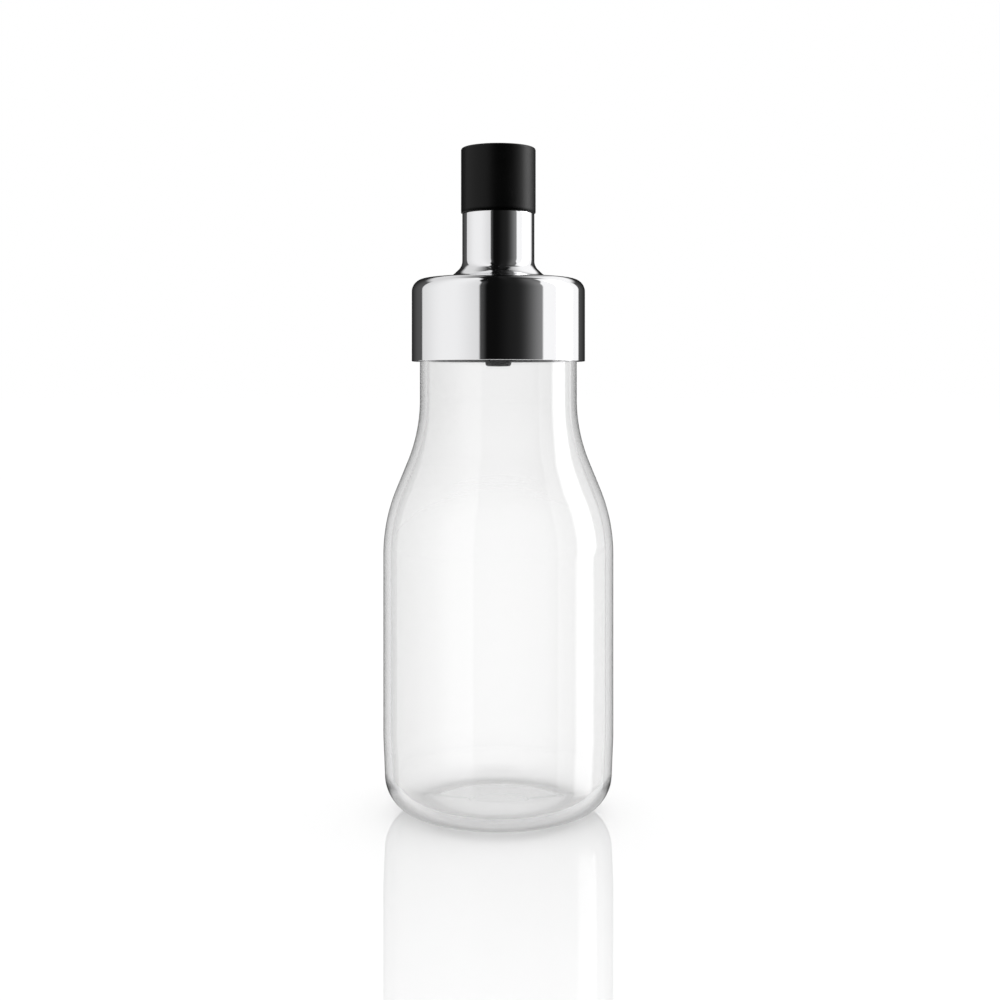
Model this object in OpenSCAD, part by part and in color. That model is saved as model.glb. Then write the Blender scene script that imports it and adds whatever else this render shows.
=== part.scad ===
/* [Glass bottle] */
// Outer diameter of the barrel
barrel_d = 70; // [68:0.5:78]
// Height from the table to the end of the straight barrel
barrel_h = 78; // [60:1:110]
// Height up to which the barrel narrows a little towards the base
heel_h = 23; // [16:1:30]
// How far the heel draws in over that height
heel_in = 0.95; // [0.2:0.05:1.6]
// Radius where the heel bends into the straight barrel
heel_r = 80; // [40:5:120]
// Radius of the rounded corner under the heel
base_corner_r = 11.3; // [8:0.1:13]
// Wall thickness of the blown glass
glass_wall = 2.2; // [1.8:0.1:2.6]
// Thickness of the glass floor
floor_t = 3; // [2.6:0.2:5]
// Radius of the corner between floor and wall, inside
floor_corner_r = 9.5; // [6:0.5:11]
// Radius where the barrel bends into the shoulder
shoulder_low_r = 52; // [40:1:56]
// Radius where the shoulder bends into the neck
shoulder_high_r = 50; // [40:1:54]
// Lean of the straight part of the shoulder, in degrees
shoulder_lean = 22.4; // [20:0.2:23]
// Outer diameter of the glass neck
neck_d = 47.8; // [46:0.2:50]
// Length of the straight neck, up to the rim
neck_h = 32.1; // [28:0.1:38]
// Radius on both edges of the rim
rim_r = 0.85; // [0.5:0.05:0.85]
// Width of the flat ring that the bottle stands on
foot_ring_w = 2.5; // [1.5:0.25:4]
// Rise of the shallow cone inside that ring
foot_rise = 0.8; // [0.4:0.1:1.2]
// Diameter of the round mark in the middle of the base
mark_d = 18.6; // [14:0.2:24]
// Depth of that mark
mark_depth = 0.5; // [0.3:0.1:1]

/* [Steel shell] */
// Air gap between the glass neck and the steel skirt
skirt_gap = 1.9; // [1.6:0.1:3]
// Thickness of the steel sheet
steel_t = 0.6; // [0.5:0.05:0.8]
// Height of the skirt, from its edge to the shoulder
skirt_h = 24.9; // [22:0.1:30]
// Radius of the shoulder's outer edge
shell_corner_r = 3.85; // [2.5:0.05:4.5]
// Rise of the shoulder from its outer edge to the flare
shell_rise = 0.4; // [0.1:0.1:1]
// How far the flare stands out from the slim neck
flare_w = 3.9; // [3.2:0.1:5]
// Height of the flare above the shoulder
flare_h = 3.7; // [3.2:0.1:5]
// Radius of the hollow where the flare runs out into the shoulder
flare_low_r = 6; // [3:0.5:8]
// Radius of the hollow where the flare meets the slim neck
flare_high_r = 3.8; // [2:0.2:5]
// Outer diameter of the slim neck
slim_neck_d = 22; // [21.6:0.1:24]
// Height of the slim neck above the shoulder's outer edge
slim_neck_h = 20.2; // [16:0.2:26]

/* [Stopper core] */
// Thickness of the flange over the glass rim
flange_t = 2.3; // [1.8:0.1:3]
// Depth of the plug below the flange
plug_h = 20.4; // [18:0.2:24]
// Wall thickness of the plug
plug_wall = 1.6; // [1.2:0.1:2.2]
// Wall thickness of the chimney in the slim neck
chimney_wall = 1.4; // [1:0.1:1.6]
// Height of the apron that hangs outside the glass rim
apron_h = 6; // [4:0.5:10]
// Number of stiffening ribs under the flange
rib_count = 8; // [4:4:12]
// Thickness of each rib
rib_t = 1.2; // [0.8:0.1:1.6]
// Height of each rib at the plug's wall
rib_h = 7; // [4:0.5:9]
// Height of the hub that carries the vent tube
hub_h = 6; // [5:0.5:8]
// Wall thickness of the hub
hub_wall = 2; // [1.4:0.1:2.6]
// Width of each spoke from hub to plug
spoke_w = 2; // [1.4:0.1:2.6]
// Height of each spoke
spoke_h = 4; // [2.5:0.5:5]

/* [Neck seal] */
// Thickness of the soft flange on the glass rim
seal_flange_t = 1.2; // [0.8:0.1:1.8]
// Wall thickness of the soft sleeve
sleeve_t = 1.1; // [0.8:0.1:1.4]
// Number of lip rings
lip_count = 4; // [2:1:4]
// Distance from lip to lip
lip_pitch = 4.2; // [3:0.1:4.6]
// Thickness of each lip at its root
lip_t = 1.4; // [1:0.1:2]

/* [Vent tube] */
// Diameter of the stub at the lower end
stub_d = 8; // [7:0.2:9]
// How far the stub reaches below the plug
stub_drop = 2.95; // [1.5:0.05:6]
// Diameter of the collar that sits on the hub
collar_d = 11; // [10.4:0.2:12.6]
// Thickness of the collar
collar_t = 1.2; // [0.8:0.1:2]
// Diameter of the slim upper tube
tube_d = 5.8; // [5:0.2:6.4]
// Diameter of the air bore
air_bore_d = 3.2; // [2:0.1:3.6]

/* [Pour spout] */
// Diameter of the spout's bore
spout_bore_d = 14; // [12.6:0.2:14.6]
// Wall thickness of the spout
spout_wall = 1.4; // [1.2:0.1:1.5]
// Thickness of the spout's foot flange
foot_t = 1.5; // [1:0.1:2.5]
// How far the drip edge stands out
drip_edge = 0.5; // [0.3:0.05:0.6]
// Thickness of the washer under the foot
washer_t = 0.8; // [0.6:0.1:1.2]
// Height of the ring groove above the steel lip
groove_up = 5; // [3:0.25:8]
// Thickness of the ring in the groove
ring_d = 1.5; // [1.2:0.1:1.6]

/* [Cap] */
// How far the cap stands out past the slim neck
cap_overhang = 0.4; // [0.2:0.05:1]
// Height of the cap
cap_h = 19.9; // [18:0.1:26]
// Thickness of the cap's top
cap_top_t = 2; // [1.5:0.1:3]
// Radius on the cap's top edge
cap_edge_r = 0.7; // [0.4:0.05:1.2]
// Thickness of the soft disc under the cap's top
disc_t = 2; // [1.2:0.1:3]
// Depth of the soft plug in the spout
cap_plug_h = 4; // [3:0.25:6]

/* [Hidden] */
$fn = 96;

// Clearances: a sliding fit, a soft piece slipped on, a drop-in piece, a loose passage
fit_gap = 0.1;
slip_gap = 0.05;
drop_in_gap = 0.2;
free_gap = 0.5;
// Small radii that break moulded and rolled edges
edge_r = 0.2;
soft_edge_r = 0.4;
// Largest turn from one point of an arc to the next, in degrees, on wide arcs and on small edges
wide_step = 6;
edge_step = 22.5;
// How far a rib or spoke is sunk into the wall that carries it
root = 0.4;

barrel_r = barrel_d / 2;
neck_r = neck_d / 2;
bore_r = neck_r - glass_wall;
// Corner points of the shoulder, where its straight lines would cross
low_z = barrel_h + shoulder_low_r * tan(shoulder_lean / 2);
high_z = low_z + (barrel_r - neck_r) / tan(shoulder_lean);
rim_z = high_z + shoulder_high_r * tan(shoulder_lean / 2) + neck_h;
heel_lean = atan(heel_in / heel_h);
foot_outer_r = barrel_r - heel_in - base_corner_r * tan(45 - heel_lean / 2);
foot_inner_r = foot_outer_r - foot_ring_w;
mark_r = mark_d / 2;

// Levels of the lid, all measured up from the glass rim
seat_z = rim_z + seal_flange_t;
skirt_r = neck_r + skirt_gap + steel_t;
slim_r = slim_neck_d / 2;
shell_cover = steel_t + drop_in_gap;
shell_z = seat_z + flange_t + shell_cover;
skirt_z = shell_z - skirt_h;
lip_z = shell_z + slim_neck_h;

// Plug of the core, with its seal round it, in the glass neck
lip_tip_r = bore_r - fit_gap;
lip_reach = 0.75;
sleeve_r = lip_tip_r - lip_reach;
sleeve_in_r = sleeve_r - sleeve_t;
plug_r = sleeve_in_r - slip_gap;
plug_in_r = plug_r - plug_wall;
plug_z = seat_z - plug_h;
apron_in_r = neck_r + free_gap;
// Hub and spokes stand a little above the plug's lower edge
hub_z = plug_z + 1;
hub_top_z = hub_z + hub_h;
stub_r = stub_d / 2;
hub_in_r = stub_r + slip_gap;
hub_r = hub_in_r + hub_wall;
spoke_count = 4;
spoke_turn = 45;

// Spout, its washer on the chimney and its foot under the steel lip
spout_bore_r = spout_bore_d / 2;
spout_r = spout_bore_r + spout_wall;
drip_r = spout_r + drip_edge;
lip_hole_r = drip_r + fit_gap;
foot_r = slim_r - shell_cover;
foot_top_z = lip_z - steel_t;
foot_z = foot_top_z - foot_t;
chimney_z = foot_z - washer_t;
chimney_in_r = foot_r - chimney_wall;
// Groove and ring
cap_in_r = drip_r + free_gap;
ring_r = ring_d / 2;
ring_mid_r = cap_in_r - fit_gap - ring_r;
ring_z = lip_z + groove_up;
groove_half = ring_r + slip_gap;
groove_r = ring_mid_r - ring_r - slip_gap;

// Cap, which rests on the steel lip, and its soft plug on the spout's edge
cap_r = slim_r + cap_overhang;
cap_z = lip_z + cap_h;
ceiling_z = cap_z - cap_top_t;
spout_z = ceiling_z - disc_t;
cap_plug_r = spout_bore_r - fit_gap;
cap_plug_z = spout_z - cap_plug_h;
cap_plug_wall = 1.6;
tube_top_gap = 3.5;
tube_top_z = cap_plug_z - tube_top_gap;

// One corner of an outline: its point, or an arc of radius p[2] that touches both sides
function corner(before, p, after) =
    let (at = [p[0], p[1]], r = p[2] == undef ? 0 : p[2])
    r == 0 ? [at] :
    let (u = ([before[0], before[1]] - at) / norm([before[0], before[1]] - at),
         v = ([after[0], after[1]] - at) / norm([after[0], after[1]] - at),
         half = acos(u * v) / 2,
         centre = at + (u + v) / norm(u + v) * r / sin(half),
         start = at + u * r / tan(half) - centre,
         from = atan2(start[1], start[0]),
         turn = (180 - 2 * half) * sign(u[1] * v[0] - u[0] * v[1]),
         steps = max(2, ceil(abs(turn) / (r < 1 ? edge_step : wide_step))))
    [for (i = [0:steps]) centre + r * [cos(from + turn * i / steps), sin(from + turn * i / steps)]];

// A closed outline of [radius, height, corner radius] points with its corners rounded
function outline(points) =
    let (last = len(points) - 1)
    [for (i = [0:last])
        each corner(points[i == 0 ? last : i - 1], points[i], points[i == last ? 0 : i + 1])];

module turned(points) {
    rotate_extrude() polygon(outline(points));
}

// The inner corners of an open outline, moved in by a thickness so that the wall stays even
function left_of(a, b) = [a[1] - b[1], b[0] - a[0]] / norm([b[0] - a[0], b[1] - a[1]]);
function moved_in(path, t) =
    [for (i = [1:len(path) - 2])
        let (n = left_of(path[i - 1], path[i]),
             m = left_of(path[i], path[i + 1]),
             shift = t * (n + m) / (1 + n * m),
             bend = sign(n[0] * m[1] - n[1] * m[0]))
        [path[i][0] + shift[0], path[i][1] + shift[1], path[i][2] - bend * t]];

// Outer line of the glass, from the base to the rim
glass_path = [
    [barrel_r - heel_in, 0, base_corner_r],
    [barrel_r, heel_h, heel_r],
    [barrel_r, low_z, shoulder_low_r],
    [neck_r, high_z, shoulder_high_r],
    [neck_r, rim_z, rim_r]];

// Outer line of the shell, from the skirt's edge to the lip
shell_path = [
    [skirt_r, skirt_z, edge_r],
    [skirt_r, shell_z, shell_corner_r],
    [slim_r + flare_w, shell_z + shell_rise, flare_low_r],
    [slim_r, shell_z + shell_rise + flare_h, flare_high_r],
    [slim_r, lip_z, soft_edge_r]];

function reversed(list) = [for (i = [len(list) - 1:-1:0]) list[i]];

module glass_bottle() {
    color([0.86, 0.93, 0.93, 0.45])
    turned([
        [0, foot_rise + mark_depth],
        [mark_r - mark_depth, foot_rise + mark_depth, soft_edge_r],
        [mark_r, foot_rise, soft_edge_r],
        [foot_inner_r, 0, 1],
        each glass_path,
        [bore_r, rim_z, rim_r],
        each reversed(moved_in(glass_path, glass_wall)),
        [barrel_r - heel_in - glass_wall, floor_t, floor_corner_r],
        [0, floor_t]]);
}

// Drawn sheet: skirt, shoulder and slim neck, with a lip turned in over the spout's foot
module lid_shell() {
    color([0.78, 0.79, 0.8])
    turned([
        each shell_path,
        [lip_hole_r, lip_z, edge_r],
        [lip_hole_r, foot_top_z, edge_r],
        [slim_r - steel_t, foot_top_z, edge_r],
        each reversed(moved_in(shell_path, steel_t)),
        [skirt_r - steel_t, skirt_z, edge_r]]);
}

// Moulded core: apron, flange, plug and chimney in one wall, with ribs, hub and spokes
module stopper_core() {
    color([0.1, 0.1, 0.11]) {
        turned([
            [plug_in_r, plug_z, soft_edge_r],
            [plug_r, plug_z, soft_edge_r],
            [plug_r, seat_z],
            [apron_in_r, seat_z],
            [apron_in_r, seat_z - apron_h, edge_r],
            [skirt_r - shell_cover, seat_z - apron_h, edge_r],
            each moved_in(shell_path, shell_cover),
            [foot_r, chimney_z, edge_r],
            [chimney_in_r, chimney_z, edge_r],
            [chimney_in_r, seat_z, flange_t],
            [plug_in_r, seat_z, flange_t]]);
        for (i = [0:rib_count - 1])
            rotate([0, 0, 360 * (i + 0.5) / rib_count]) core_rib();
        difference() {
            union() {
                translate([0, 0, hub_z]) cylinder(r = hub_r, h = hub_h);
                for (i = [0:spoke_count - 1])
                    rotate([0, 0, spoke_turn + 360 * i / spoke_count])
                    translate([0, -spoke_w / 2, hub_z])
                    cube([plug_in_r + root, spoke_w, spoke_h]);
            }
            translate([0, 0, hub_z - 1]) cylinder(r = hub_in_r, h = hub_h + 2);
        }
    }
}

// A gusset from the plug's wall up to the flange
module core_rib() {
    mouth_r = chimney_in_r + flange_t;
    translate([0, rib_t / 2, 0])
    rotate([90, 0, 0])
    linear_extrude(rib_t)
    polygon([
        [mouth_r, seat_z + root],
        [plug_in_r + root, seat_z + root],
        [plug_in_r + root, seat_z - rib_h],
        [plug_in_r - rib_t, seat_z - rib_h],
        [mouth_r, seat_z - rib_t]]);
}

// Soft sleeve with lips that lean up, and a flange between glass rim and core
module neck_seal() {
    first_lip_z = plug_z + 2;
    color([0.16, 0.16, 0.17])
    turned([
        [sleeve_in_r, plug_z + 1, edge_r],
        [sleeve_r, plug_z + 1, edge_r],
        for (i = [0:lip_count - 1])
            let (z = first_lip_z + i * lip_pitch)
            each [[sleeve_r, z], [lip_tip_r, z + lip_t], [lip_tip_r, z + lip_t + edge_r],
                  [sleeve_r, z + lip_t]],
        [sleeve_r, rim_z],
        [apron_in_r - drop_in_gap, rim_z, edge_r],
        [apron_in_r - drop_in_gap, seat_z, edge_r],
        [sleeve_in_r, seat_z]]);
}

// Spout with a groove for the cap's ring and a thin drip edge
module pour_spout() {
    edge_t = 0.5;
    color([0.12, 0.12, 0.13])
    turned([
        [spout_bore_r, foot_z],
        [foot_r, foot_z, edge_r],
        [foot_r, foot_top_z, edge_r],
        [spout_r, foot_top_z, edge_r],
        [spout_r, ring_z - groove_half],
        [groove_r, ring_z - groove_half],
        [groove_r, ring_z + groove_half],
        [spout_r, ring_z + groove_half],
        [spout_r, spout_z - 5 * edge_t, 2],
        [drip_r, spout_z - edge_t],
        [drip_r, spout_z],
        [spout_bore_r + edge_t, spout_z, edge_r],
        [spout_bore_r, spout_z - 2 * edge_t, edge_r]]);
}

module spout_washer() {
    color([0.5, 0.5, 0.52])
    turned([
        [chimney_in_r + edge_r, chimney_z],
        [foot_r, chimney_z],
        [foot_r, foot_z],
        [chimney_in_r + edge_r, foot_z]]);
}

module cap_ring_seal() {
    color([0.5, 0.5, 0.52])
    rotate_extrude() translate([ring_mid_r, ring_z]) circle(r = ring_r);
}

// Air tube: a stub that looks out under the lid, a collar on the hub and a slim upper end
module vent_tube() {
    tube_r = tube_d / 2;
    collar_r = collar_d / 2;
    collar_top_z = hub_top_z + collar_t;
    color([0.05, 0.05, 0.06])
    turned([
        [air_bore_d / 2, plug_z - stub_drop],
        [stub_r, plug_z - stub_drop, 1],
        [stub_r, hub_top_z],
        [collar_r, hub_top_z],
        [collar_r, collar_top_z, edge_r],
        [tube_r, collar_top_z + stub_r, 2],
        [tube_r, tube_top_z, edge_r],
        [air_bore_d / 2, tube_top_z]]);
}

module cap_shell() {
    color([0.07, 0.07, 0.07])
    turned([
        [0, cap_z],
        [cap_r, cap_z, cap_edge_r],
        [cap_r, lip_z, soft_edge_r],
        [cap_in_r, lip_z, edge_r],
        [cap_in_r, ceiling_z, soft_edge_r],
        [0, ceiling_z]]);
}

// Soft plug: a disc under the cap's top, which sits on the spout's edge, and a hollow skirt
module cap_plug() {
    disc_r = cap_in_r - drop_in_gap;
    color([0.16, 0.16, 0.17])
    turned([
        [0, ceiling_z],
        [disc_r, ceiling_z, soft_edge_r * 2],
        [disc_r, spout_z, edge_r],
        [cap_plug_r, spout_z],
        [cap_plug_r, cap_plug_z, soft_edge_r],
        [cap_plug_r - cap_plug_wall, cap_plug_z, soft_edge_r],
        [cap_plug_r - cap_plug_wall, spout_z, soft_edge_r],
        [0, spout_z]]);
}

glass_bottle();
lid_shell();
stopper_core();
neck_seal();
pour_spout();
spout_washer();
cap_ring_seal();
vent_tube();
cap_shell();
cap_plug();
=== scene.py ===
import bpy
import numpy as np
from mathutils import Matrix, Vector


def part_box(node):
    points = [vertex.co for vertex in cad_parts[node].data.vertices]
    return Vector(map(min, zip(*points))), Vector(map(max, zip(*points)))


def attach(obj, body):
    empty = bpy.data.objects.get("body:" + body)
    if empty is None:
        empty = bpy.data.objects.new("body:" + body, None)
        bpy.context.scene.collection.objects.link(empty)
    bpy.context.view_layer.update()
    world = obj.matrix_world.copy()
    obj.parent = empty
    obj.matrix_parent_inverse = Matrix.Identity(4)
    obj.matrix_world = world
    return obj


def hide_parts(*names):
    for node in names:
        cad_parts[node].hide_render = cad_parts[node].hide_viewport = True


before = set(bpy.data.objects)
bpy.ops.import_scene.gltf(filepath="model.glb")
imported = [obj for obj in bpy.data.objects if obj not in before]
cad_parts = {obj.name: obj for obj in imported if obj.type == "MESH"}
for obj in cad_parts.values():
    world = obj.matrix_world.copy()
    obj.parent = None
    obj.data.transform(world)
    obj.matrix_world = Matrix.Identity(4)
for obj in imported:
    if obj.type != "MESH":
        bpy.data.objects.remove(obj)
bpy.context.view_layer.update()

print("stage 1: frame loaded,", len(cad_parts), "nodes")
mm = 0.001


# Lowest and highest corner of a CAD node, in millimetres
def nodeBox(node):
    low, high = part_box(node)
    return np.array(low) / mm, np.array(high) / mm


# Levels and radii that the frame gives, in millimetres
glassLow, glassHigh = nodeBox("glass_bottle")
shellLow, shellHigh = nodeBox("lid_shell")
coreLow, coreHigh = nodeBox("stopper_core")
sealLow, sealHigh = nodeBox("neck_seal")
spoutLow, spoutHigh = nodeBox("pour_spout")
washerLow, washerHigh = nodeBox("spout_washer")
ringLow, ringHigh = nodeBox("cap_ring_seal")
tubeLow, tubeHigh = nodeBox("vent_tube")
capLow, capHigh = nodeBox("cap_shell")
plugLow, plugHigh = nodeBox("cap_plug")


# Shader maths as expressions on sockets
class Wire:
    def __init__(self, graph, socket):
        self.graph, self.socket = graph, socket

    def __add__(self, other): return self.graph.maths("ADD", self, other)
    def __radd__(self, other): return self.graph.maths("ADD", other, self)
    def __sub__(self, other): return self.graph.maths("SUBTRACT", self, other)
    def __rsub__(self, other): return self.graph.maths("SUBTRACT", other, self)
    def __mul__(self, other): return self.graph.maths("MULTIPLY", self, other)
    def __rmul__(self, other): return self.graph.maths("MULTIPLY", other, self)
    def __gt__(self, other): return self.graph.maths("GREATER_THAN", self, other)
    def __lt__(self, other): return self.graph.maths("LESS_THAN", self, other)


# The nodes of one material or of the world
class Graph:
    def __init__(self, owner):
        owner.use_nodes = True
        self.tree = owner.node_tree
        self.tree.nodes.clear()

    def add(self, kind, settings=None, values=None, out=0):
        node = self.tree.nodes.new(kind)
        for name, value in (settings or {}).items():
            if name == "stops":
                self.setStops(node.color_ramp, value)
            else:
                setattr(node, name, value)
        for name, value in (values or {}).items():
            if isinstance(value, Wire):
                self.tree.links.new(value.socket, node.inputs[name])
            else:
                node.inputs[name].default_value = value
        return Wire(self, node.outputs[out]) if node.outputs else node

    def setStops(self, ramp, stops):
        for i, (place, shade) in enumerate(stops):
            stop = ramp.elements[i] if i < 2 else ramp.elements.new(place)
            stop.position = place
            stop.color = (shade, shade, shade, 1)

    def maths(self, operation, first, second):
        return self.add("ShaderNodeMath", {"operation": operation}, {0: first, 1: second})

    def ramp(self, value, stops):
        return self.add("ShaderNodeValToRGB", {"stops": stops}, {"Fac": value})

    def height(self):
        coords = self.add("ShaderNodeTexCoord", out="Object")
        return self.add("ShaderNodeSeparateXYZ", None, {0: coords}, out="Z")

    def radius(self):
        # Distance from the axis: the length of the Object coordinates with their height taken out
        flat = self.place((1, 1, 0))
        return self.add("ShaderNodeVectorMath", {"operation": "LENGTH"}, {0: flat}, out="Value")

    def mixed(self, blend, share, first, second):
        # Sockets 6, 7 and output 2 of the Mix node are its colours
        values = {"Factor": share, 6: first, 7: second}
        return self.add("ShaderNodeMix", {"data_type": "RGBA", "blend_type": blend}, values, out=2)

    def ray(self, kind):
        return self.add("ShaderNodeLightPath", out=kind)

    def place(self, scale=(1, 1, 1)):
        coords = self.add("ShaderNodeTexCoord", out="Object")
        return self.add("ShaderNodeMapping", None, {"Vector": coords, "Scale": scale})

    def noise(self, vector, scale, detail=2, roughness=0.5):
        values = {"Vector": vector, "Scale": scale, "Detail": detail, "Roughness": roughness}
        return self.add("ShaderNodeTexNoise", None, values)

    def bump(self, height, strength, distance):
        values = {"Height": height, "Strength": strength, "Distance": distance}
        return self.add("ShaderNodeBump", None, values)


# One material with a Principled shader: plain values, and links that build(graph) adds to them
def makeFinish(name, values, build=None):
    material = bpy.data.materials.new(name)
    graph = Graph(material)
    links = dict(values)
    if build:
        links.update(build(graph))
    shader = graph.add("ShaderNodeBsdfPrincipled", None, links)
    graph.add("ShaderNodeOutputMaterial", None, {"Surface": shader})
    return material


glassLook = {
    "ior": 1.5,
    "roughness": 0.02,      # nearly clear, blown glass
    "specular": 0.085,
    # the glass's faint tint face on (0), with painted shade darkening it toward edge on (1)
    "shades": [(0.0, 0.98), (0.1, 0.96), (0.2, 0.905), (0.35, 0.88), (0.55, 0.875), (0.7, 0.85),
               (0.84, 0.69), (0.94, 0.4), (1.0, 0.08)],
    # painted shade: the glass of the neck, under the lid, is made a little darker
    "neck": [(0.46, 1.0), (0.62, 0.97)],            # the neck is a little darker; heights times five
    # painted shade: an extra dark outline at the base corner and up the neck
    "corner": [(0.05, 0.95), (0.065, 0.0), (0.45, 0.0), (0.6, 0.55)],
    "outline": [(0.52, 0.0), (0.68, 0.7), (0.85, 1.0)],
    # painted shade: the glass is made darker where the floor's mirror shows it
    "paintedMirrorShade": 0.5,        # how much darker it looks in the floor's mirror
    "passed": 0.95,         # light that the wall lets through to the floor
    # light that the overhanging corner of the base holds back, by height times five and radius times ten
    "base": [(0.0, 0.4), (0.04, 0.25), (0.08, 0.0)],
    "foot": [(0.2, 0.0), (0.215, 1.0)],
    "bounces": 3.5,         # light thrown about in the wall more often than this isn't followed
    "paintedGlow": 0.76,           # the level that it comes out with
}


def clearGlass():
    material = bpy.data.materials.new("clearGlass")
    graph = Graph(material)
    facing = graph.add("ShaderNodeLayerWeight", None, {"Blend": 0.5}, out="Facing")
    height = graph.height() * 5
    paintedMirrorShade = 1 - graph.ray("Is Singular Ray") * glassLook["paintedMirrorShade"]
    foot = graph.ramp(graph.radius() * 10, glassLook["foot"])
    # Painted shade: a dark outline at the base corner and up the neck, where the eye meets it
    edge = foot * graph.ramp(height, glassLook["corner"]) * graph.ramp(facing, glassLook["outline"])
    corner = 1 - graph.ray("Is Camera Ray") * edge      # on the outside only, where the eye meets it
    depth = paintedMirrorShade * corner * graph.ramp(height, glassLook["neck"])
    # Base colour: the glass's faint tint times painted shade at the edges, a painted dark outline, a
    # darker painted neck and painted shade in the floor's mirror
    shade = graph.mixed("MULTIPLY", 1.0, graph.ramp(facing, glassLook["shades"]), depth)
    values = {"Base Color": shade, "IOR": glassLook["ior"], "Specular IOR Level": glassLook["specular"],
              "Roughness": glassLook["roughness"], "Transmission Weight": 1.0}
    glass = graph.add("ShaderNodeBsdfPrincipled", None, values)
    # Light that only passes on to the floor goes straight through, less so at the corner of the base
    level = glassLook["passed"]
    plain = graph.add("ShaderNodeBsdfTransparent", None, {"Color": (level, level, level, 1)})
    passing = graph.ray("Is Shadow Ray") + graph.ray("Is Diffuse Ray")
    share = passing * (1 - foot * graph.ramp(height, glassLook["base"]))
    both = graph.add("ShaderNodeMixShader", None, {0: share, 1: glass, 2: plain})
    # Painted light: light that keeps turning inside the wall is replaced by a glow as bright as the
    # surroundings
    deep = graph.ray("Glossy Depth") > glassLook["bounces"]
    paintedGlow = graph.add("ShaderNodeEmission", None, {"Strength": glassLook["paintedGlow"]})
    whole = graph.add("ShaderNodeMixShader", None, {0: deep, 1: both, 2: paintedGlow})
    graph.add("ShaderNodeOutputMaterial", None, {"Surface": whole})
    return material


steelLook = {
    "colour": (0.83, 0.83, 0.84, 1),
    "roughness": 0.035,
    "smear": 0.03,          # how much the polish varies
    "cloud": 60,            # patches of the polish per metre
    # duller in the tight flare at the foot of the slim neck, by height in metres times five
    "dull": [(0.795, 0.0), (0.806, 0.03), (0.82, 0.03), (0.832, 0.0)],
    "lathe": 900,           # polishing lines, far finer up the height than round it
    "round": 6,
    "lineShare": 0.01, "lineStrength": 0.25, "lineDepth": 0.0000006,
}


def polishedSteel():
    def build(graph):
        s = steelLook
        lines = graph.noise(graph.place((s["round"], s["round"], s["lathe"])), 10, 3)
        cloud = graph.noise(graph.place(), s["cloud"], 3)
        dull = graph.ramp(graph.height() * 5, s["dull"])
        rough = cloud * s["smear"] + lines * s["lineShare"] + s["roughness"] + dull
        normal = graph.bump(lines, s["lineStrength"], s["lineDepth"])
        return {"Roughness": rough, "Normal": normal}
    return makeFinish("polishedSteel", {"Base Color": steelLook["colour"], "Metallic": 1.0}, build)


# Black plastic or silicone: a base shade that varies a little, a grain and its gloss
def blackFinish(name, look):
    def build(graph):
        grain = graph.noise(graph.place(), look["grain"], 4, 0.6)
        cloud = graph.noise(graph.place(), 90, 2)
        low, high = look["shade"]
        colour = graph.ramp(cloud, [(0.3, low), (0.7, high)])
        rough = look["roughness"] + (cloud - 0.5) * look["smear"]
        made = {"Base Color": colour, "Roughness": rough,
                "Normal": graph.bump(grain, look["strength"], look["depth"])}
        # Painted shade: the lower edge is made metallic on a near black colour, so it shows dead black
        if "foot" in look:
            made["Metallic"] = graph.ramp(graph.height() * 5, look["foot"])
        return made
    values = {"Specular IOR Level": look.get("specular", 0.5)}
    return makeFinish(name, values, build)


capLook = {"shade": (0.0009, 0.0014), "roughness": 0.38, "smear": 0.05, "grain": 5200,
           "strength": 0.12, "depth": 0.00002, "specular": 0.17,
           # painted shade: a dead black line along the lower edge, where it meets the steel; heights
           # times five
           "foot": [(0.9108, 1.0), (0.9114, 0.0)]}
stubLook = {"shade": (0.003, 0.004), "roughness": 0.12, "smear": 0.04, "grain": 900,
            "strength": 0.05, "depth": 0.00001, "specular": 0.1}
mouldedLook = {"shade": (0.011, 0.015), "roughness": 0.3, "smear": 0.08, "grain": 3600,
               "strength": 0.14, "depth": 0.00002}
softLook = {"shade": (0.018, 0.024), "roughness": 0.52, "smear": 0.1, "grain": 2600,
            "strength": 0.18, "depth": 0.00002}
greyLook = {"shade": (0.2, 0.25), "roughness": 0.55, "smear": 0.1, "grain": 2600,
            "strength": 0.18, "depth": 0.00002}

looks = {
    "clear_glass": clearGlass(),
    "polished_steel": polishedSteel(),
    "satin_black": blackFinish("satinBlack", capLook),
    "gloss_black": blackFinish("glossBlack", stubLook),
    "moulded_black": blackFinish("mouldedBlack", mouldedLook),
    "soft_black": blackFinish("softBlack", softLook),
    "soft_grey": blackFinish("softGrey", greyLook),
}
print("stage 2:", len(looks), "finishes made")


# Shapes: outlines with rounded corners, turned round the axis
outlineRules = {"wideStep": 3.0, "edgeStep": 15.0, "longest": 0.8, "guard": 0.12}


def roundCorner(before, at, after, radius):
    # An arc of the radius that touches both sides, with a guard point just outside each end
    at, before, after = (np.array(p, float) for p in (at, before, after))
    u = (before - at) / np.linalg.norm(before - at)
    v = (after - at) / np.linalg.norm(after - at)
    half = np.arccos(np.clip(u @ v, -1, 1)) / 2
    centre = at + (u + v) / np.linalg.norm(u + v) * radius / np.sin(half)
    start = at + u * radius / np.tan(half) - centre
    turn = (np.pi - 2 * half) * np.sign(u[1] * v[0] - u[0] * v[1])
    step = np.radians(outlineRules["edgeStep" if radius < 1 else "wideStep"])
    step = min(step, outlineRules["longest"] / radius)
    angles = np.arctan2(start[1], start[0]) + np.linspace(0, turn, max(3, int(abs(turn) / step) + 2))
    arc = centre + radius * np.stack([np.cos(angles), np.sin(angles)], 1)
    guard = min(outlineRules["guard"], radius * 0.5)
    return np.concatenate([[arc[0] + u * guard], arc, [arc[-1] + v * guard]])


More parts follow.
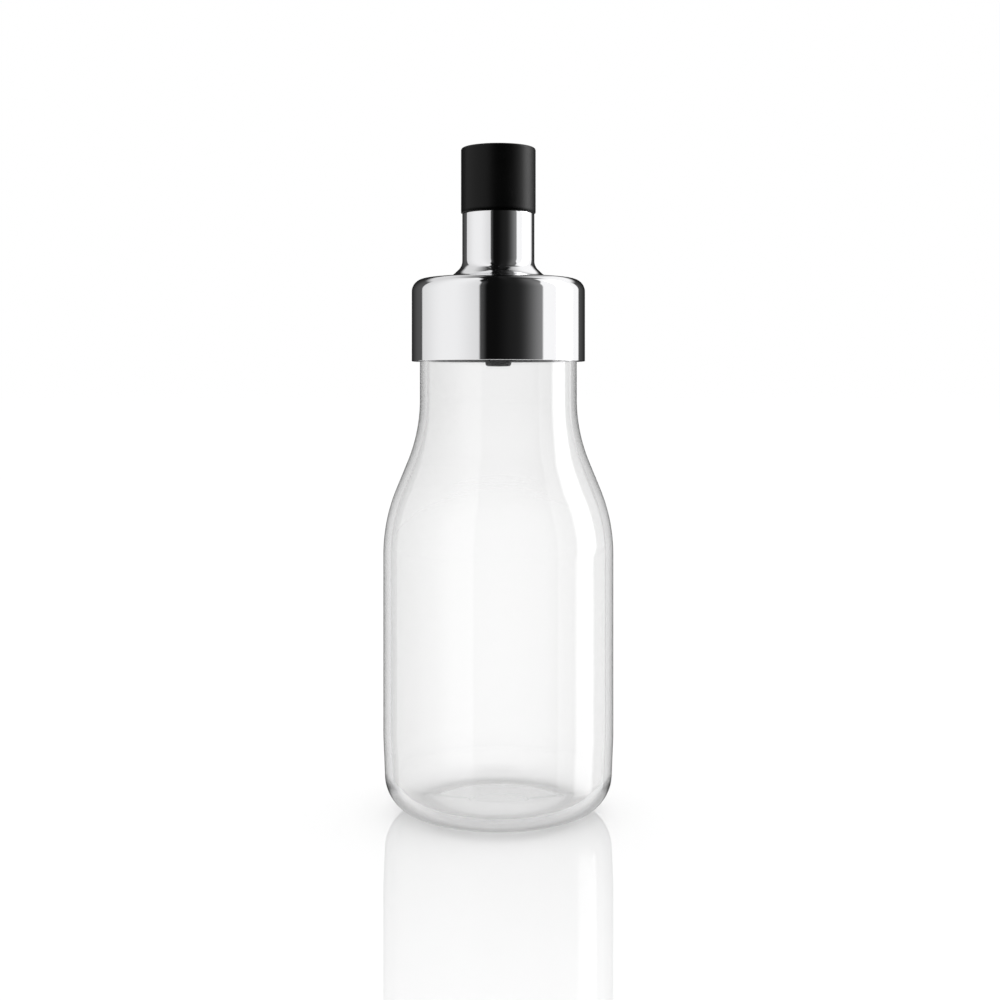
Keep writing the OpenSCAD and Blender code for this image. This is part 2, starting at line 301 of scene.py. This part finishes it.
def outline(corners):
    # A closed outline of (radius, height, corner radius); a corner on the axis stays sharp
    rows = []
    for i, corner in enumerate(corners):
        before, after = corners[i - 1][:2], corners[(i + 1) % len(corners)][:2]
        radius = corner[2] if len(corner) > 2 else 0
        rows.append(roundCorner(before, corner[:2], after, radius) if radius else [corner[:2]])
    return np.concatenate(rows)


def movedIn(path, thickness):
    # Inner corners of an open line, each moved along its bisector so that the wall stays even
    path = np.array(path, float)
    run = np.diff(path[:, :2], axis=0)
    run /= np.linalg.norm(run, axis=1, keepdims=True)
    side = np.stack([-run[:, 1], run[:, 0]], 1)
    n, m = side[:-1], side[1:]
    inner = path[1:-1].copy()
    inner[:, :2] += thickness * (n + m) / (1 + np.sum(n * m, axis=1, keepdims=True))
    inner[:, 2] -= np.sign(n[:, 0] * m[:, 1] - n[:, 1] * m[:, 0]) * thickness
    return inner.tolist()


def meshOf(name, points, faces):
    data = bpy.data.meshes.new(name)
    data.from_pydata((points * mm).tolist(), [], faces)
    data.validate()
    data.shade_smooth()
    piece = bpy.data.objects.new(name, data)
    bpy.context.scene.collection.objects.link(piece)
    return piece


def turned(name, profile, around=192):
    # Surface of revolution: x = r cos a, y = r sin a, z = h for each profile point and angle a
    profile = np.asarray(profile, float)
    angles = np.linspace(0, 2 * np.pi, around, endpoint=False)
    onAxis = profile[:, 0] < 1e-6
    first, last = onAxis[0], onAxis[-1]
    body = profile[~onAxis]
    rows = len(body)
    ringPoints = np.stack([body[:, :1] * np.cos(angles), body[:, :1] * np.sin(angles),
                           np.repeat(body[:, 1:], around, 1)], 2).reshape(-1, 3)
    index = np.arange(rows * around).reshape(rows, around)
    low = index if not first else index[:-1]
    high = np.roll(index, -1, 0) if not first else index[1:]
    quads = np.stack([low, np.roll(low, -1, 1), np.roll(high, -1, 1), high], 2).reshape(-1, 4)
    faces = quads.tolist()
    points = ringPoints
    if first:
        poles = np.array([[0, 0, profile[0, 1]], [0, 0, profile[-1, 1]]])
        points = np.concatenate([ringPoints, poles])
        startPole, endPole = rows * around, rows * around + 1
        a, b = index[0], np.roll(index[0], -1)
        faces += np.stack([b, a, np.full(around, startPole)], 1).tolist()
        a, b = index[-1], np.roll(index[-1], -1)
        faces += np.stack([a, b, np.full(around, endPole)], 1).tolist()
    return meshOf(name, points, faces)


# Hands a finished piece to its body, its material slot and the CAD node that it stands for
def settle(piece, body, slot, node):
    piece.data.materials.clear()
    piece.data.materials.append(looks[slot])
    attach(piece, body)
    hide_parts(node)
    return piece


# Camera: level, at the height where the photograph's rims look straight, with a lens shift
photo = {"pixels": 1000, "axisX": 498.35, "horizonY": 390.1, "bodyPixels": 114.61 * 2,
         "distance": 1525, "height": 418.8}


def makeCamera():
    scale = (glassHigh[0] - glassLow[0]) * mm / photo["bodyPixels"]
    data = bpy.data.cameras.new("camera")
    data.sensor_width = 36
    data.lens = 36 * photo["distance"] / photo["pixels"]
    data.shift_x = (0.5 - photo["axisX"] / photo["pixels"])
    data.shift_y = photo["horizonY"] / photo["pixels"] - 0.5
    data.clip_end = 100
    camera = bpy.data.objects.new("camera", data)
    camera.location = (0, -photo["distance"] * scale, photo["height"] * scale)
    camera.rotation_euler = (np.pi / 2, 0, 0)
    bpy.context.scene.collection.objects.link(camera)
    bpy.context.scene.camera = camera


makeCamera()
print("stage 3: camera set")


glassSizes = {
    "wall": 2.2, "heel": 23.0, "heelIn": 0.95, "heelBend": 80.0, "baseCorner": 11.3,
    "floor": 3.0, "floorCorner": 9.5,
    "barrel": 78.0, "lowBend": 52.0, "highBend": 50.0, "lean": 22.4,
    "neck": 23.9, "rimEdge": 0.85, "footRing": 2.5, "footRise": 0.8,
    "mark": 9.3, "markDepth": 0.5, "around": 320,
}


def glassBottle():
    s = glassSizes
    outer, rim = glassHigh[0], glassHigh[2]
    half = np.radians(s["lean"] / 2)
    low = s["barrel"] + s["lowBend"] * np.tan(half)
    high = low + (outer - s["neck"]) / np.tan(2 * half)
    path = [(outer - s["heelIn"], 0, s["baseCorner"]), (outer, s["heel"], s["heelBend"]),
            (outer, low, s["lowBend"]), (s["neck"], high, s["highBend"]), (s["neck"], rim, s["rimEdge"])]
    heelLean = np.arctan(s["heelIn"] / s["heel"])
    foot = outer - s["heelIn"] - s["baseCorner"] * np.tan(np.pi / 4 - heelLean / 2)
    profile = outline([
        (0, s["footRise"] + s["markDepth"]),
        (s["mark"] - s["markDepth"], s["footRise"] + s["markDepth"], 0.4),
        (s["mark"], s["footRise"], 0.4),
        (foot - s["footRing"], 0, 1), *path,
        (s["neck"] - s["wall"], rim, s["rimEdge"]),
        *movedIn(path, s["wall"])[::-1],
        (outer - s["heelIn"] - s["wall"], s["floor"], s["floorCorner"]),
        (0, s["floor"])])
    piece = turned("glass_body", profile, s["around"])
    return settle(piece, "bottle", "clear_glass", "glass_bottle")


shellSizes = {
    "sheet": 0.6, "skirtHeight": 24.9, "corner": 3.85, "rise": 0.4,
    "flareWidth": 3.9, "flareHeight": 3.7, "flareLow": 6.0, "flareHigh": 3.8,
    "slim": 11.0, "lipHole": 9.0, "lipEdge": 0.4, "edge": 0.12, "around": 288,
}


# Outer line of the shell: skirt, shoulder, flare, slim neck, lip
def shellPath():
    s = shellSizes
    skirt, low, lip = shellHigh[0], shellLow[2], shellHigh[2]
    shoulder = low + s["skirtHeight"]
    return [(skirt, low, s["edge"]), (skirt, shoulder, s["corner"]),
            (s["slim"] + s["flareWidth"], shoulder + s["rise"], s["flareLow"]),
            (s["slim"], shoulder + s["rise"] + s["flareHeight"], s["flareHigh"]),
            (s["slim"], lip, s["lipEdge"])]


def lidShell():
    s = shellSizes
    skirt, low, lip = shellHigh[0], shellLow[2], shellHigh[2]
    profile = outline([
        *shellPath(),
        (s["lipHole"], lip, s["edge"]),
        (s["lipHole"], lip - s["sheet"], s["edge"]),
        (s["slim"] - s["sheet"], lip - s["sheet"], s["edge"]),
        *movedIn(shellPath(), s["sheet"])[::-1],
        (skirt - s["sheet"], low, s["edge"])])
    piece = turned("steel_shell", profile, s["around"])
    return settle(piece, "lid", "polished_steel", "lid_shell")


capSizes = {"inner": 9.4, "top": 2.0, "topEdge": 0.7, "footEdge": 0.4, "innerEdge": 0.4, "around": 192}


def capShell():
    s = capSizes
    radius, low, high = capHigh[0], capLow[2], capHigh[2]
    profile = outline([
        (0, high),
        (radius, high, s["topEdge"]),
        (radius, low, s["footEdge"]),
        (s["inner"], low, 0.2),
        (s["inner"], high - s["top"], s["innerEdge"]),
        (0, high - s["top"])])
    piece = turned("cap_body", profile[::-1], s["around"])
    return settle(piece, "cap", "satin_black", "cap_shell")


plugSizes = {"plug": 6.9, "plugDepth": 4.0, "wall": 1.6, "edge": 0.4}


def capPlug():
    s = plugSizes
    disc, low, high = plugHigh[0], plugLow[2], plugHigh[2]
    seat = low + s["plugDepth"]
    profile = outline([
        (0, high),
        (disc, high, 0.8),
        (disc, seat, 0.2),
        (s["plug"], seat),
        (s["plug"], low, s["edge"]),
        (s["plug"] - s["wall"], low, s["edge"]),
        (s["plug"] - s["wall"], seat, s["edge"]),
        (0, seat)])
    piece = turned("cap_soft_plug", profile[::-1], 128)
    return settle(piece, "cap", "soft_black", "cap_plug")


spoutSizes = {"bore": 7.0, "outer": 8.4, "foot": 1.5, "drip": 8.9, "dripHeight": 0.5,
              "groove": 7.75, "grooveHalf": 0.8, "edge": 0.2}


def pourSpout():
    s = spoutSizes
    foot, low, high = spoutHigh[0], spoutLow[2], spoutHigh[2]
    ring = (ringLow[2] + ringHigh[2]) / 2
    profile = outline([
        (s["bore"], low, 0.1),
        (foot, low, s["edge"]),
        (foot, low + s["foot"], s["edge"]),
        (s["outer"], low + s["foot"], s["edge"]),
        (s["outer"], ring - s["grooveHalf"], 0.08),
        (s["groove"], ring - s["grooveHalf"], 0.08),
        (s["groove"], ring + s["grooveHalf"], 0.08),
        (s["outer"], ring + s["grooveHalf"], 0.08),
        (s["outer"], high - 5 * s["dripHeight"], 2),
        (s["drip"], high - s["dripHeight"], 0.1),
        (s["drip"], high, 0.1),
        (s["bore"] + s["dripHeight"], high, s["edge"]),
        (s["bore"], high - 2 * s["dripHeight"], s["edge"])])
    piece = turned("spout_body", profile, 160)
    return settle(piece, "lid", "moulded_black", "pour_spout")


def spoutWasher():
    inner = 9.0
    outer, low, high = washerHigh[0], washerLow[2], washerHigh[2]
    profile = outline([(inner, low, 0.1), (outer, low, 0.1), (outer, high, 0.1), (inner, high, 0.1)])
    return settle(turned("washer_ring", profile, 128), "lid", "soft_grey", "spout_washer")


def capRing():
    # A torus: its section is a circle of half the ring's height
    section = (ringHigh[2] - ringLow[2]) / 2
    angles = np.linspace(0, 2 * np.pi, 24, endpoint=False)
    middle = np.array([ringHigh[0] - section, (ringLow[2] + ringHigh[2]) / 2])
    profile = middle + section * np.stack([np.cos(angles), np.sin(angles)], 1)
    return settle(turned("cap_ring", profile, 128), "lid", "soft_grey", "cap_ring_seal")


tubeSizes = {"air": 1.6, "stub": 4.0, "stubEdge": 1.0, "upper": 2.9, "collarTop": 1.2, "taper": 4.0,
             "hubHeight": 6.0, "hubLift": 1.0, "stubDrop": 2.95}


def ventTube():
    s = tubeSizes
    collar, low, high = tubeHigh[0], tubeLow[2], tubeHigh[2]
    seat = low + s["stubDrop"] + s["hubLift"] + s["hubHeight"]
    profile = outline([
        (s["air"], low, 0.3),
        (s["stub"], low, s["stubEdge"]),
        (s["stub"], seat, 0.05),
        (collar, seat, 0.1),
        (collar, seat + s["collarTop"], 0.2),
        (s["upper"], seat + s["collarTop"] + s["taper"], 2),
        (s["upper"], high, 0.2),
        (s["air"], high, 0.1)])
    return settle(turned("air_tube", profile, 128), "lid", "gloss_black", "vent_tube")


sealSizes = {"inner": 19.75, "sleeve": 20.85, "lipTip": 21.6, "lips": 4, "pitch": 4.2, "lip": 1.4,
             "lift": 1.0, "flange": 1.2}


def neckSeal():
    s = sealSizes
    outer, low, high = sealHigh[0], sealLow[2], sealHigh[2]
    rim = high - s["flange"]
    corners = [(s["inner"], low, 0.2), (s["sleeve"], low, 0.2)]
    for i in range(s["lips"]):
        z = low + s["lift"] + i * s["pitch"]
        corners += [(s["sleeve"], z, 0.2), (s["lipTip"], z + s["lip"], 0.08),
                    (s["lipTip"], z + s["lip"] + 0.2, 0.08), (s["sleeve"], z + s["lip"], 0.1)]
    corners += [(s["sleeve"], rim, 0.2), (outer, rim, 0.2), (outer, high, 0.2), (s["inner"], high, 0.05)]
    return settle(turned("lip_seal", outline(corners), 192), "lid", "soft_black", "neck_seal")


coreSizes = {
    "flange": 2.3, "plug": 19.7, "plugWall": 1.6, "apron": 6.0, "apronInner": 24.4, "cover": 0.8,
    "chimney": 10.2, "chimneyWall": 1.4, "ribs": 8, "rib": 1.2, "ribHeight": 7.0,
    "spokes": 4, "spoke": 2.0, "spokeHeight": 4.0, "hub": 6.05, "hubInner": 4.05, "root": 0.4,
}


def plates(name, corners, thickness, angles):
    # Flat plates: an outline of (radius, height), half a thickness to each side, turned to each angle
    section = np.array(corners, float)
    count, copies = len(section), len(angles)
    side = np.array([-0.5, 0.5]) * thickness
    across = np.repeat(side, count)
    along, height = np.tile(section[:, 0], 2), np.tile(section[:, 1], 2)
    a = np.array(angles)[:, None]
    points = np.stack([along * np.cos(a) - across * np.sin(a),
                       along * np.sin(a) + across * np.cos(a),
                       np.repeat(height[None], copies, 0)], 2).reshape(-1, 3)
    ring = np.arange(count)
    walls = np.stack([ring, np.roll(ring, -1), np.roll(ring, -1) + count, ring + count], 1).tolist()
    caps = [ring[::-1].tolist(), (ring + count).tolist()]
    faces = [[v + i * 2 * count for v in f] for i in range(copies) for f in walls + caps]
    piece = meshOf(name, points, faces)
    bevel = piece.modifiers.new("soft edges", "BEVEL")
    bevel.width, bevel.segments, bevel.limit_method = 0.15 * mm, 2, "ANGLE"
    return piece


def stopperCore():
    s = coreSizes
    low, chimneyTop, seat = coreLow[2], coreHigh[2], sealHigh[2]
    apron, plugInner = shellHigh[0] - s["cover"], s["plug"] - s["plugWall"]
    chimneyInner = s["chimney"] - s["chimneyWall"]
    wall = turned("core_body", outline([
        (plugInner, low, 0.4),
        (s["plug"], low, 0.4),
        (s["plug"], seat, 0.05),
        (s["apronInner"], seat, 0.1),
        (s["apronInner"], seat - s["apron"], 0.2),
        (apron, seat - s["apron"], 0.2), *movedIn(shellPath(), s["cover"]),
        (s["chimney"], chimneyTop, 0.2),
        (chimneyInner, chimneyTop, 0.2),
        (chimneyInner, seat, s["flange"]),
        (plugInner, seat, s["flange"])]), 192)
    mouth = chimneyInner + s["flange"]
    ribTurns = (np.arange(s["ribs"]) + 0.5) * 2 * np.pi / s["ribs"]
    ribs = plates("core_ribs", [
        (mouth, seat + s["root"]), (plugInner + s["root"], seat + s["root"]),
        (plugInner + s["root"], seat - s["ribHeight"]), (plugInner - s["rib"], seat - s["ribHeight"]),
        (mouth, seat - s["rib"])], s["rib"], ribTurns)
    hubLow = low + tubeSizes["hubLift"]
    hubHigh = hubLow + tubeSizes["hubHeight"]
    hub = turned("core_hub", outline([
        (s["hubInner"], hubLow, 0.15), (s["hub"], hubLow, 0.2), (s["hub"], hubHigh, 0.2),
        (s["hubInner"], hubHigh, 0.15)]), 96)
    spokeTurns = (np.arange(s["spokes"]) + 0.5) * 2 * np.pi / s["spokes"]
    reach = (s["hub"] - s["root"], plugInner + s["root"])
    spokes = plates("core_spokes", [
        (reach[0], hubLow), (reach[1], hubLow), (reach[1], hubLow + s["spokeHeight"]),
        (reach[0], hubLow + s["spokeHeight"])], s["spoke"], spokeTurns)
    for piece in (wall, ribs, hub, spokes):
        settle(piece, "lid", "moulded_black", "stopper_core")


glassBottle()
lidShell()
capShell()
capPlug()
pourSpout()
spoutWasher()
capRing()
ventTube()
neckSeal()
stopperCore()
print("stage 4: pieces made")


# Studio: a sphere that only reflections and refractions see, painted with soft panels.
# Turns are degrees round from the camera's side, positive to the right; lifts are degrees up.
studio = {
    "radius": 30.0,
    "floor": 0.95, "floorLifts": (18, 24),          # below the horizon
    # the dark gap between the walls, in front and overhead
    "gap": 0.005, "gapRise": 0.012, "gapTurns": (-5, 25),
    "left": {"front": -24.4, "lean": 15.0, "leanLifts": (32, 72), "back": -120.0, "level": 0.8,
             "rise": 0.22, "riseTurns": (-128, -75), "fall": 0.2, "fallTurns": (-62, -18),
             "roof": (0.22, 0.27), "rear": (0.14, 0.54), "rearTurns": (75, 115),
             "far": 0.2, "farTurns": (135, 160), "farEdge": (0.11, 0.15)},
    "right": {"front": 60.5, "lean": 23.0, "leanLifts": (24, 66), "back": 132.0, "level": 1.12,
              "roof": (0.53, 0.63), "rear": (0.09, 0.52), "rearTurns": (105, 130)},
    "strip": {"from": 85.0, "to": 113.0, "soft": 7.0, "level": 4.6, "topLifts": (40, 52),
              # below the horizon it stands a little nearer to the front, and it is weaker
              "lowLifts": (1, 5), "lowFrom": 3, "lowTo": 5, "lowLess": 0.45},
    "step": {"level": 0.07, "turns": (-22.5, -14), "lifts": (30, 60), "end": -90},
    "fade": {"turns": (16, 65), "level": 0.28, "lifts": (20, 60), "less": 0.5, "slopes": (0.2, 0.6)},
    "back": {"left": 34.0, "right": 28.0, "edge": 5, "low": 0.02, "high": 0.1, "turns": (125, 165)},
    "soft": 3.0,
}


def smooth(value, start, end):
    t = np.clip((value - start) / (end - start), 0, 1)
    return t * t * (3 - 2 * t)


def band(value, start, end, soft):
    half = soft / 2
    return smooth(value, start - half, start + half) * (1 - smooth(value, end - half, end + half))


# The level of each direction. Two walls stand at the sides and lean over the part. In front their
# ends are upright edges, overhead they end at a slope beside the gap, and at the rear they fade
# into it. The gap is nearly black, with a grey step on the left and a slow rise on the right.
def studioLevels(turn, lift):
    s, left, right = studio, studio["left"], studio["right"]
    step, fade, strip, back = s["step"], s["fade"], s["strip"], s["back"]
    soft = s["soft"] / 2
    slope = np.sin(np.radians(turn)) / np.tan(np.radians(np.maximum(lift, 1)))

    edge = left["front"] - left["lean"] * smooth(lift, *left["leanLifts"])
    front = (1 - smooth(turn, edge - soft, edge + soft)) * smooth(-slope, *left["roof"])
    rear = smooth(-turn, *left["rearTurns"])
    far = smooth(left["far"] * smooth(-turn, *left["farTurns"]) - slope, *left["rear"])
    far *= smooth(-slope, *left["farEdge"])
    leftShare = (turn < 0) * (front + rear * (far - front))
    leftLevel = left["level"] + left["rise"] * smooth(turn, *left["riseTurns"])
    leftLevel -= left["fall"] * smooth(turn, *left["fallTurns"])

    edge = right["front"] + right["lean"] * smooth(lift, *right["leanLifts"])
    front = smooth(turn, edge - soft, edge + soft) * smooth(slope, *right["roof"])
    rear = smooth(turn, *right["rearTurns"])
    rightShare = (turn > 0) * (front + rear * (smooth(slope, *right["rear"]) - front))

    level = s["gap"] + s["gapRise"] * smooth(turn, *s["gapTurns"])
    level += (turn > step["end"]) * step["level"] * (1 - smooth(turn, *step["turns"])) * \
        (1 - smooth(lift, *step["lifts"]))
    level += fade["level"] * smooth(turn, *fade["turns"]) ** 2 * \
        (1 - fade["less"] * smooth(lift, *fade["lifts"])) * smooth(slope, *fade["slopes"])
    level += leftShare * (leftLevel - level)
    level += rightShare * (right["level"] - level)
    low = smooth(-lift, *strip["lowLifts"])
    level += band(turn, strip["from"] - strip["lowFrom"] * low, strip["to"] - strip["lowTo"] * low,
                  strip["soft"]) * strip["level"] * (1 - strip["lowLess"] * low) * \
        (1 - smooth(lift, *strip["topLifts"]))

    wall = np.where(turn < 0, -left["back"], right["back"])
    ceiling = np.where(turn < 0, back["left"], back["right"])
    dark = smooth(np.abs(turn), wall - soft, wall + soft) * \
        (1 - smooth(lift, ceiling - back["edge"], ceiling + back["edge"]))
    tone = back["high"] + (back["low"] - back["high"]) * smooth(np.abs(turn), *back["turns"])
    level += dark * (tone - level)
    level += smooth(-lift, *s["floorLifts"]) * (s["floor"] - level)
    return level


def makeStudio():
    columns, rows = 900, 240
    azimuth = np.linspace(-180, 180, columns, endpoint=False)
    elevation = np.linspace(-89.9, 89.9, rows)
    a, e = np.meshgrid(azimuth, elevation)
    turn, lift = np.radians(a), np.radians(e)
    points = np.stack([np.sin(turn) * np.cos(lift), -np.cos(turn) * np.cos(lift), np.sin(lift)], 2)
    index = np.arange(rows * columns).reshape(rows, columns)
    low, high = index[:-1], index[1:]
    faces = np.stack([low, high, np.roll(high, -1, 1), np.roll(low, -1, 1)], 2).reshape(-1, 4)
    shell = meshOf("studio_shell", points.reshape(-1, 3) * studio["radius"] / mm, faces.tolist())
    level = studioLevels(a, e).ravel()
    paint = shell.data.color_attributes.new("level", "FLOAT_COLOR", "POINT")
    paint.data.foreach_set("color", np.repeat(level[:, None], 4, 1).ravel())
    material = bpy.data.materials.new("studioPaint")
    graph = Graph(material)
    shade = graph.add("ShaderNodeVertexColor", {"layer_name": "level"}, out="Color")
    # What is seen through the glass or in the floor's mirror is the white surroundings
    plain = graph.maths("MAXIMUM", graph.ray("Is Transmission Ray"), graph.ray("Is Singular Ray"))
    seen = graph.mixed("MIX", plain, shade, (1, 1, 1, 1))
    light = graph.add("ShaderNodeEmission", None, {"Color": seen})
    graph.add("ShaderNodeOutputMaterial", None, {"Surface": light})
    shell.data.materials.append(material)
    shell.visible_camera = False
    shell.visible_diffuse = False
    shell.visible_shadow = False


# A pale floor with a clear gloss; the lift brightens it for the camera and through the glass
floorLook = {"size": 60.0, "colour": 0.93, "gloss": 1.75, "lift": 0.12}


def makeFloor():
    half = floorLook["size"] / 2 / mm
    corners = np.array([[-half, -half, 0], [half, -half, 0], [half, half, 0], [-half, half, 0]])
    floor = meshOf("floor", corners, [[0, 1, 2, 3]])
    material = bpy.data.materials.new("paleFloor")
    graph = Graph(material)
    seen, through = graph.ray("Is Camera Ray"), graph.ray("Is Transmission Ray")
    shade = floorLook["colour"]
    matt = graph.add("ShaderNodeBsdfDiffuse", None, {"Color": (shade, shade, shade, 1)})
    lift = graph.add("ShaderNodeEmission", None, {"Color": (seen + through) * floorLook["lift"]})
    pale = graph.add("ShaderNodeAddShader", None, {0: matt, 1: lift})
    mirror = graph.add("ShaderNodeBsdfGlossy", None, {"Color": (1, 1, 1, 1), "Roughness": 0.0})
    share = graph.add("ShaderNodeFresnel", None, {"IOR": floorLook["gloss"]})
    both = graph.add("ShaderNodeMixShader", None, {0: share, 1: pale, 2: mirror})
    graph.add("ShaderNodeOutputMaterial", None, {"Surface": both})
    floor.data.materials.append(material)
    floor.visible_glossy = False


# A dim world, which camera, reflections and glass see as white, and one broad lamp overhead
lamps = {"worldLevel": 0.8, "sun": 0.75, "sunSpread": 60, "tilt": (-16, 6)}


def makeLight():
    world = bpy.data.worlds.new("world")
    bpy.context.scene.world = world
    graph = Graph(world)
    seen = graph.ray("Is Camera Ray") + graph.ray("Is Glossy Ray") + graph.ray("Is Transmission Ray")
    shown = graph.maths("MINIMUM", seen, 1.0)
    level = lamps["worldLevel"] + shown * (1 - lamps["worldLevel"])
    back = graph.add("ShaderNodeBackground", None, {"Color": level})
    graph.add("ShaderNodeOutputWorld", None, {"Surface": back})
    data = bpy.data.lights.new("overhead", "SUN")
    data.energy = lamps["sun"]
    data.angle = np.radians(lamps["sunSpread"])
    sun = bpy.data.objects.new("overhead", data)
    sun.rotation_euler = (np.radians(lamps["tilt"][0]), np.radians(lamps["tilt"][1]), 0)
    sun.visible_glossy = False
    sun.visible_transmission = False
    bpy.context.scene.collection.objects.link(sun)


makeStudio()
makeFloor()
makeLight()
bpy.context.scene.view_settings.view_transform = "Standard"
print("stage 5: studio, floor and light made")
